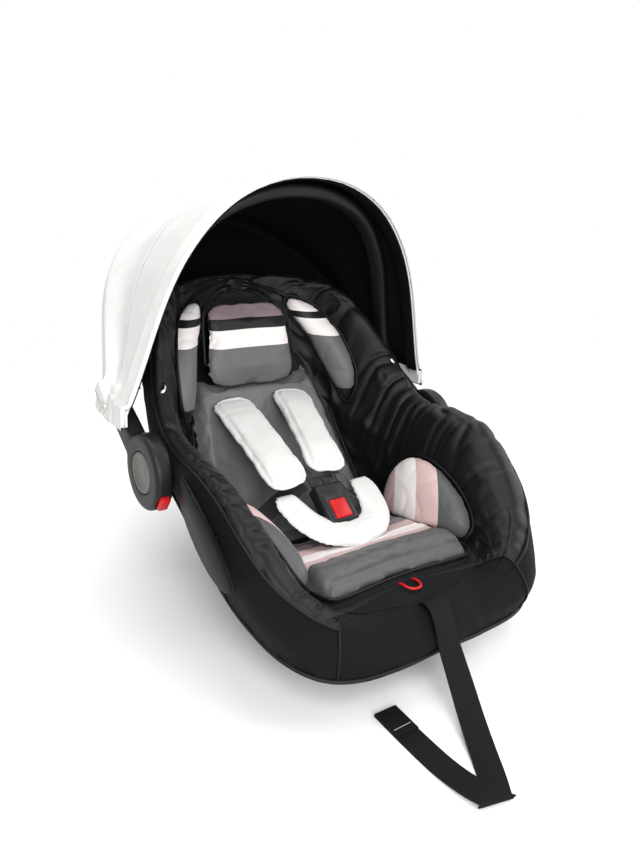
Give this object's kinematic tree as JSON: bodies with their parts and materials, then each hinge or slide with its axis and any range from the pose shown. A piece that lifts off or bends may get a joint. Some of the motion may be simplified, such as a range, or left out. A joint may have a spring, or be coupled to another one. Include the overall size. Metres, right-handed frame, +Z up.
{
  "type": "infant carrier seat",
  "caption": "Rear-facing infant carrier seat with padded cover, buckled harness, swing handle, folding canopy and a loose adjuster strap.",
  "frame": {"origin": "underside of the base's rear cross rib on the middle plane, on the floor the seat stands on", "axes": "+Z up, +Y from the foot end to the head end, +X to the right seen from the foot end"},
  "size_m": [0.4908, 0.774, 0.5541],
  "materials": {
    "adjuster_housing": "moulded",
    "adjuster_lever": "moulded red",
    "back_pad": "satin padded polyester",
    "base_screw_1": "zinc plated",
    "base_screw_2": "zinc plated",
    "base_screw_3": "zinc plated",
    "base_screw_4": "zinc plated",
    "belt_guide_l": "moulded",
    "belt_guide_r": "moulded",
    "buckle_body": "moulded",
    "buckle_button": "moulded red",
    "canopy_front_bow": "moulded white",
    "canopy_rear_bow": "moulded",
    "canopy_rivet_l": "pressed",
    "canopy_rivet_r": "pressed",
    "canopy_roof": "woven polyester",
    "canopy_skirt": "woven polyester",
    "carry_handle": "fine texture",
    "cover_band": "matte twill",
    "cover_stud_l": "pressed",
    "cover_stud_r": "pressed",
    "crotch_anchor": "stamped",
    "crotch_pad": "soft padded knit",
    "crotch_strap": "woven webbing",
    "harness_yoke": "stamped",
    "head_pad": "striped padded polyester",
    "head_wing_l": "striped padded polyester",
    "head_wing_r": "striped padded polyester",
    "hip_belt_l": "woven webbing",
    "hip_belt_r": "woven webbing",
    "hip_ear_l": "striped padded polyester",
    "hip_ear_r": "striped padded polyester",
    "hub_button_l": "moulded grey",
    "hub_button_r": "moulded grey",
    "hub_pin_l": "turned",
    "hub_pin_r": "turned",
    "pull_strap": "woven webbing",
    "rear_webbing": "woven webbing",
    "rocker_base": "fine texture",
    "seat_cover": "satin woven polyester",
    "seat_pad": "satin padded polyester",
    "shell": "fine texture",
    "shoulder_belt_l": "woven webbing",
    "shoulder_belt_r": "woven webbing",
    "shoulder_pad_l": "soft padded knit",
    "shoulder_pad_r": "soft padded knit",
    "stroller_release_l": "moulded red",
    "stroller_release_r": "moulded red",
    "tongue_l": "moulded",
    "tongue_r": "moulded"
  },
  "bodies": {
    "seat": {"adjuster_housing": "adjuster_housing", "back_pad": "back_pad", "base_screw_1": "base_screw_1", "base_screw_2": "base_screw_2", "base_screw_3": "base_screw_3", "base_screw_4": "base_screw_4", "belt_guide_l": "belt_guide_l", "belt_guide_r": "belt_guide_r", "buckle_body": "buckle_body", "cover_band": "cover_band", "cover_stud_l": "cover_stud_l", "cover_stud_r": "cover_stud_r", "crotch_anchor": "crotch_anchor", "crotch_pad": "crotch_pad", "crotch_strap": "crotch_strap", "harness_yoke": "harness_yoke", "head_pad": "head_pad", "head_wing_l": "head_wing_l", "head_wing_r": "head_wing_r", "hip_belt_l": "hip_belt_l", "hip_belt_r": "hip_belt_r", "hip_ear_l": "hip_ear_l", "hip_ear_r": "hip_ear_r", "hub_pin_l": "hub_pin_l", "hub_pin_r": "hub_pin_r", "pull_strap": "pull_strap", "rear_webbing": "rear_webbing", "rocker_base": "rocker_base", "seat_cover": "seat_cover", "seat_pad": "seat_pad", "shell": "shell", "shoulder_belt_l": "shoulder_belt_l", "shoulder_belt_r": "shoulder_belt_r", "shoulder_pad_l": "shoulder_pad_l", "shoulder_pad_r": "shoulder_pad_r", "tongue_l": "tongue_l", "tongue_r": "tongue_r"},
    "handle": {"carry_handle": "carry_handle", "canopy_rivet_l": "canopy_rivet_l", "canopy_rivet_r": "canopy_rivet_r"},
    "canopy_front": {"canopy_front_bow": "canopy_front_bow", "canopy_roof": "canopy_roof"},
    "canopy_rear": {"canopy_rear_bow": "canopy_rear_bow", "canopy_skirt": "canopy_skirt"},
    "buckle_release": {"buckle_button": "buckle_button"},
    "adjuster": {"adjuster_lever": "adjuster_lever"},
    "hub_release_l": {"hub_button_l": "hub_button_l"},
    "stroller_release_l": {"stroller_release_l": "stroller_release_l"},
    "hub_release_r": {"hub_button_r": "hub_button_r"},
    "stroller_release_r": {"stroller_release_r": "stroller_release_r"}
  },
  "joints": [
    {"name": "handle_turn", "type": "hinge", "parent": "seat", "child": "handle", "pos_m": [0, -0.014, 0.212], "axis": [-1, 0, 0], "range_deg": [0, 55]},
    {"name": "canopy_fold", "type": "hinge", "parent": "handle", "child": "canopy_front", "pos_m": [0, 0.076, 0.267], "axis": [-1, 0, 0], "range_deg": [0, 55], "deforming": ["canopy_roof", "canopy_skirt"]},
    {"name": "canopy_rear_fold", "type": "hinge", "parent": "handle", "child": "canopy_rear", "pos_m": [0, 0.076, 0.267], "axis": [-1, 0, 0], "range_deg": [0, 11]},
    {"name": "buckle_press", "type": "slide", "parent": "seat", "child": "buckle_release", "axis": [0, 0.6, -0.8], "range_m": [0, 0.003], "stiffness_N_per_m": 500},
    {"name": "adjuster_lift", "type": "hinge", "parent": "seat", "child": "adjuster", "pos_m": [0, -0.23, 0.09515], "axis": [-1, 0, 0], "range_deg": [0, 13], "stiffness_Nm_per_rad": 0.05},
    {"name": "hub_press_l", "type": "slide", "parent": "handle", "child": "hub_release_l", "axis": [1, 0, 0], "range_m": [0, 0.004], "stiffness_N_per_m": 500},
    {"name": "stroller_press_l", "type": "slide", "parent": "handle", "child": "stroller_release_l", "axis": [0, 0.829, 0.5592], "range_m": [0, 0.003], "stiffness_N_per_m": 500},
    {"name": "hub_press_r", "type": "slide", "parent": "handle", "child": "hub_release_r", "axis": [-1, 0, 0], "range_m": [0, 0.004], "stiffness_N_per_m": 500},
    {"name": "stroller_press_r", "type": "slide", "parent": "handle", "child": "stroller_release_r", "axis": [0, 0.829, 0.5592], "range_m": [0, 0.003], "stiffness_N_per_m": 500}
  ],
  "couplings": [
    {"joint": "canopy_rear_fold", "follows": "canopy_fold", "ratio": 0.2}
  ]
}
